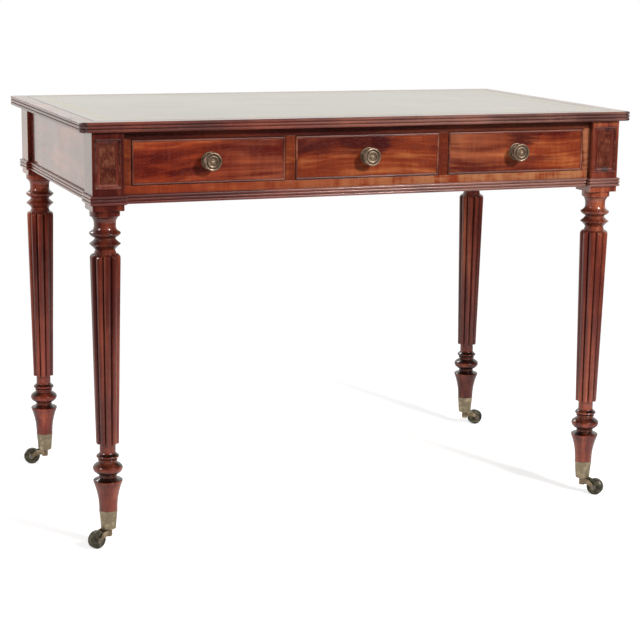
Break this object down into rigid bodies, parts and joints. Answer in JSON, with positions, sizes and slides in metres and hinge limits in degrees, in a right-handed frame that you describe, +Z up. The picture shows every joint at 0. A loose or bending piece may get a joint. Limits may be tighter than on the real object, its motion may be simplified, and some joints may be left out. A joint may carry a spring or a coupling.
{
  "type": "library table",
  "caption": "Rectangular writing table with a leather top, frieze drawers with cock beads and brass knobs, reeded turned legs and brass castors.",
  "frame": {"origin": "on the floor, under the middle of the top", "axes": "+X along the length of the table, to the right of a person facing the drawers; +Y from the drawers to the back; +Z up"},
  "size_m": [1.066, 0.6139, 0.76],
  "materials": {
    "mahogany": "French polished, red-brown",
    "drawer_veneer": "figured mahogany veneer, French polished, orange-brown",
    "oak": "bare, aged",
    "leather": "polished green skiver with a gilt-tooled border",
    "brass": "lacquered, aged to a dull olive gold",
    "steel": "dark"
  },
  "bodies": {
    "root": {"top_board": "mahogany", "leather_panel": "leather", "leg_front_left": "mahogany", "leg_front_right": "mahogany", "leg_back_left": "mahogany", "leg_back_right": "mahogany", "corner_beads": "mahogany", "post_mouldings": "mahogany", "apron_mouldings": "mahogany", "back_apron": "mahogany", "left_apron": "mahogany", "right_apron": "mahogany", "front_top_rail": "mahogany", "front_bottom_rail": "mahogany", "front_uprights": "drawer_veneer", "drawer_runners": "oak", "drawer_kickers": "oak", "drawer_stops": "oak", "top_screws": "steel", "cap_screws": "brass", "castor_cap_front_left": "brass", "castor_cap_front_right": "brass", "castor_cap_back_left": "brass", "castor_cap_back_right": "brass"},
    "drawer_left": {"drawer_left_front": "drawer_veneer", "drawer_left_cock_bead": "mahogany", "drawer_left_sides": "oak", "drawer_left_back": "oak", "drawer_left_bottom": "oak", "drawer_left_knob": "brass", "drawer_left_knob_plate": "brass", "drawer_left_knob_nut": "brass"},
    "drawer_centre": {"drawer_centre_front": "drawer_veneer", "drawer_centre_cock_bead": "mahogany", "drawer_centre_sides": "oak", "drawer_centre_back": "oak", "drawer_centre_bottom": "oak", "drawer_centre_knob": "brass", "drawer_centre_knob_plate": "brass", "drawer_centre_knob_nut": "brass"},
    "drawer_right": {"drawer_right_front": "drawer_veneer", "drawer_right_cock_bead": "mahogany", "drawer_right_sides": "oak", "drawer_right_back": "oak", "drawer_right_bottom": "oak", "drawer_right_knob": "brass", "drawer_right_knob_plate": "brass", "drawer_right_knob_nut": "brass"},
    "castor_front_left": {"castor_horn_front_left": "brass", "castor_axle_front_left": "steel"},
    "wheel_front_left": {"castor_wheel_front_left": "brass"},
    "castor_front_right": {"castor_horn_front_right": "brass", "castor_axle_front_right": "steel"},
    "wheel_front_right": {"castor_wheel_front_right": "brass"},
    "castor_back_left": {"castor_horn_back_left": "brass", "castor_axle_back_left": "steel"},
    "wheel_back_left": {"castor_wheel_back_left": "brass"},
    "castor_back_right": {"castor_horn_back_right": "brass", "castor_axle_back_right": "steel"},
    "wheel_back_right": {"castor_wheel_back_right": "brass"}
  },
  "joints": [
    {"name": "drawer_left_slide", "type": "slide", "parent": "root", "child": "drawer_left", "axis": [0, -1, 0], "range_m": [0, 0.4]},
    {"name": "drawer_centre_slide", "type": "slide", "parent": "root", "child": "drawer_centre", "axis": [0, -1, 0], "range_m": [0, 0.4]},
    {"name": "drawer_right_slide", "type": "slide", "parent": "root", "child": "drawer_right", "axis": [0, -1, 0], "range_m": [0, 0.4]},
    {"name": "castor_front_left_swivel", "type": "hinge", "parent": "root", "child": "castor_front_left", "pos_m": [-0.484, -0.268, 0.0312], "axis": [0, 0, 1], "continuous": true},
    {"name": "wheel_front_left_spin", "type": "hinge", "parent": "castor_front_left", "child": "wheel_front_left", "pos_m": [-0.50847, -0.27941, 0.016], "axis": [0.4226, -0.9063, 0], "continuous": true},
    {"name": "castor_front_right_swivel", "type": "hinge", "parent": "root", "child": "castor_front_right", "pos_m": [0.484, -0.268, 0.0312], "axis": [0, 0, 1], "continuous": true},
    {"name": "wheel_front_right_spin", "type": "hinge", "parent": "castor_front_right", "child": "wheel_front_right", "pos_m": [0.50207, -0.28807, 0.016], "axis": [0.7431, 0.6691, 0], "continuous": true},
    {"name": "castor_back_left_swivel", "type": "hinge", "parent": "root", "child": "castor_back_left", "pos_m": [-0.484, 0.268, 0.0312], "axis": [0, 0, 1], "continuous": true},
    {"name": "wheel_back_left_spin", "type": "hinge", "parent": "castor_back_left", "child": "wheel_back_left", "pos_m": [-0.50903, 0.27811, 0.016], "axis": [-0.3746, -0.9272, 0], "continuous": true},
    {"name": "castor_back_right_swivel", "type": "hinge", "parent": "root", "child": "castor_back_right", "pos_m": [0.484, 0.268, 0.0312], "axis": [0, 0, 1], "continuous": true},
    {"name": "wheel_back_right_spin", "type": "hinge", "parent": "castor_back_right", "child": "wheel_back_right", "pos_m": [0.5109, 0.27035, 0.016], "axis": [-0.0872, 0.9962, 0], "continuous": true}
  ]
}
